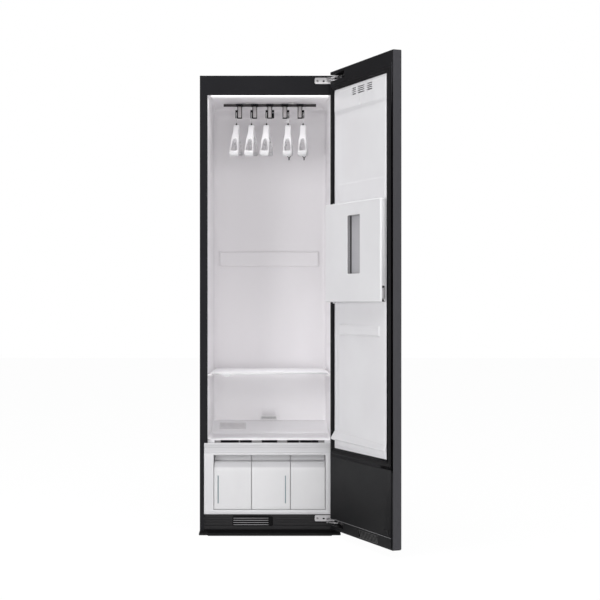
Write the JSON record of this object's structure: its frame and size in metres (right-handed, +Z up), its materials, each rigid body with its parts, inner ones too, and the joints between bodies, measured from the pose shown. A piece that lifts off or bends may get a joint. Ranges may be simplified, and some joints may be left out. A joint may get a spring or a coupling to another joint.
{
  "type": "clothes care steam cabinet",
  "caption": "Tall steam care cabinet: hinged insulated door with a trouser press, moving hanger rail, hangers, shelf, lint filter and pull-out water tanks.",
  "frame": {"origin": "on the floor under the middle of the cabinet's body, without its door", "axes": "+X to the right seen from the front, +Y to the back, +Z up"},
  "size_m": [0.808, 1.1447, 1.96],
  "materials": {
    "black_steel": "satin black paint",
    "black_trim": "fine satin black",
    "dark_glass": "dark tinted glass, polished",
    "white_lining": "pale satin moulding",
    "grey_lining": "pale grey satin",
    "seal_black": "soft matt black",
    "insulation": "pale fibre batt",
    "light_diffuser": "opal",
    "rail_metal": "dark anodised",
    "carrier_grey": "mid grey satin",
    "hanger_white": "white satin",
    "hinge_chrome": "bright",
    "steel_plain": "bright zinc",
    "compressor_black": "black enamel",
    "coil_metal": "bare fins",
    "machine_plastic": "plain grey",
    "tank_clear": "smoked clear moulding",
    "latch_metal": "satin",
    "foot_plastic": "black"
  },
  "bodies": {
    "cabinet": {"base_frame": "black_steel", "left_side_panel": "black_steel", "right_side_panel": "black_steel", "top_panel": "black_steel", "rear_panel": "steel_plain", "power_inlet": "seal_black", "cabinet_screws": "steel_plain", "front_frame": "black_trim", "base_fascia": "black_trim", "base_grille": "black_trim", "lower_bezel": "white_lining", "cavity_liner": "white_lining", "ceiling_light": "light_diffuser", "cavity_floor": "white_lining", "drain_grille": "white_lining", "steam_outlet": "grey_lining", "tank_bay": "grey_lining", "rail_drive": "steel_plain", "compressor": "compressor_black", "heat_exchanger": "coil_metal", "fan_housing": "machine_plastic", "fan_motor": "steel_plain", "steam_generator": "steel_plain", "water_pumps": "machine_plastic", "control_box": "machine_plastic", "upper_hinge": "hinge_chrome", "lower_hinge": "hinge_chrome"},
    "door": {"door_frame": "black_trim", "door_glass": "dark_glass", "door_foam": "insulation", "door_seal": "seal_black", "door_liner": "white_lining", "door_vents": "grey_lining", "drip_tray": "white_lining", "door_lower_panel": "black_trim", "door_grille": "black_trim", "door_brackets": "hinge_chrome", "press_base": "white_lining"},
    "press_lid": {"press_cover": "white_lining"},
    "press_button": {"press_latch": "latch_metal"},
    "fill_tank": {"fill_tank": "tank_clear", "fill_tank_front": "white_lining"},
    "drain_tank": {"drain_tank": "tank_clear", "drain_tank_front": "white_lining"},
    "storage_drawer": {"storage_drawer": "white_lining"},
    "shelf": {"shelf": "white_lining"},
    "lint_filter": {"lint_filter": "grey_lining"},
    "rail": {"hanger_rail": "rail_metal", "rail_carriers": "carrier_grey", "hanger_pegs": "black_trim"},
    "fan": {"fan_impeller": "machine_plastic"},
    "hanger_1": {"hanger_1": "hanger_white"},
    "hanger_2": {"hanger_2": "hanger_white"},
    "hanger_3": {"hanger_3": "hanger_white"},
    "hanger_4": {"hanger_4": "hanger_white"},
    "hanger_5": {"hanger_5": "hanger_white"},
    "foot_1": {"foot_1": "foot_plastic"},
    "foot_2": {"foot_2": "foot_plastic"},
    "foot_3": {"foot_3": "foot_plastic"},
    "foot_4": {"foot_4": "foot_plastic"}
  },
  "joints": [
    {"name": "door_hinge", "type": "hinge", "parent": "cabinet", "child": "door", "pos_m": [0.288, -0.312, 0.06], "axis": [0, 0, 1], "range_deg": [-111.3, 8.7]},
    {"name": "press_lid_hinge", "type": "hinge", "parent": "door", "child": "press_lid", "pos_m": [0.26869, -0.37534, 1.19], "axis": [0, 0, -1], "range_deg": [0, 60]},
    {"name": "press_button_slide", "type": "slide", "parent": "press_lid", "child": "press_button", "axis": [-0.3633, 0.9317, 0], "range_m": [0, 0.0025], "stiffness_N_per_m": 600},
    {"name": "fill_tank_slide", "type": "slide", "parent": "cabinet", "child": "fill_tank", "axis": [0, -1, 0], "range_m": [0, 0.2]},
    {"name": "drain_tank_slide", "type": "slide", "parent": "cabinet", "child": "drain_tank", "axis": [0, -1, 0], "range_m": [0, 0.2]},
    {"name": "storage_drawer_slide", "type": "slide", "parent": "cabinet", "child": "storage_drawer", "axis": [0, -1, 0], "range_m": [0, 0.2]},
    {"name": "shelf_slide", "type": "slide", "parent": "cabinet", "child": "shelf", "axis": [0, -1, 0], "range_m": [0, 0.35]},
    {"name": "lint_filter_lift", "type": "slide", "parent": "cabinet", "child": "lint_filter", "axis": [0, -0.3304, 0.9439], "range_m": [0, 0.05]},
    {"name": "rail_shake", "type": "slide", "parent": "cabinet", "child": "rail", "axis": [1, 0, 0], "range_m": [-0.012, 0.012]},
    {"name": "fan_spin", "type": "hinge", "parent": "cabinet", "child": "fan", "pos_m": [-0.127, 0.08, 0.275], "axis": [0, 1, 0], "continuous": true},
    {"name": "hanger_1_swing", "type": "hinge", "parent": "rail", "child": "hanger_1", "pos_m": [-0.1477, -0.024, 1.822], "axis": [1, 0, 0], "range_deg": [-6, 6]},
    {"name": "hanger_2_swing", "type": "hinge", "parent": "rail", "child": "hanger_2", "pos_m": [-0.081, -0.024, 1.822], "axis": [1, 0, 0], "range_deg": [-6, 6]},
    {"name": "hanger_3_swing", "type": "hinge", "parent": "rail", "child": "hanger_3", "pos_m": [-0.0143, -0.024, 1.822], "axis": [1, 0, 0], "range_deg": [-6, 6]},
    {"name": "hanger_4_swing", "type": "hinge", "parent": "rail", "child": "hanger_4", "pos_m": [0.081, -0.024, 1.822], "axis": [1, 0, 0], "range_deg": [-6, 6]},
    {"name": "hanger_5_swing", "type": "hinge", "parent": "rail", "child": "hanger_5", "pos_m": [0.1477, -0.024, 1.822], "axis": [1, 0, 0], "range_deg": [-6, 6]},
    {"name": "foot_1_screw", "type": "hinge", "parent": "cabinet", "child": "foot_1", "pos_m": [-0.228, -0.204, 0.02], "axis": [0, 0, 1], "continuous": true},
    {"name": "foot_2_screw", "type": "hinge", "parent": "cabinet", "child": "foot_2", "pos_m": [0.228, -0.204, 0.02], "axis": [0, 0, 1], "continuous": true},
    {"name": "foot_3_screw", "type": "hinge", "parent": "cabinet", "child": "foot_3", "pos_m": [-0.228, 0.204, 0.02], "axis": [0, 0, 1], "continuous": true},
    {"name": "foot_4_screw", "type": "hinge", "parent": "cabinet", "child": "foot_4", "pos_m": [0.228, 0.204, 0.02], "axis": [0, 0, 1], "continuous": true}
  ]
}
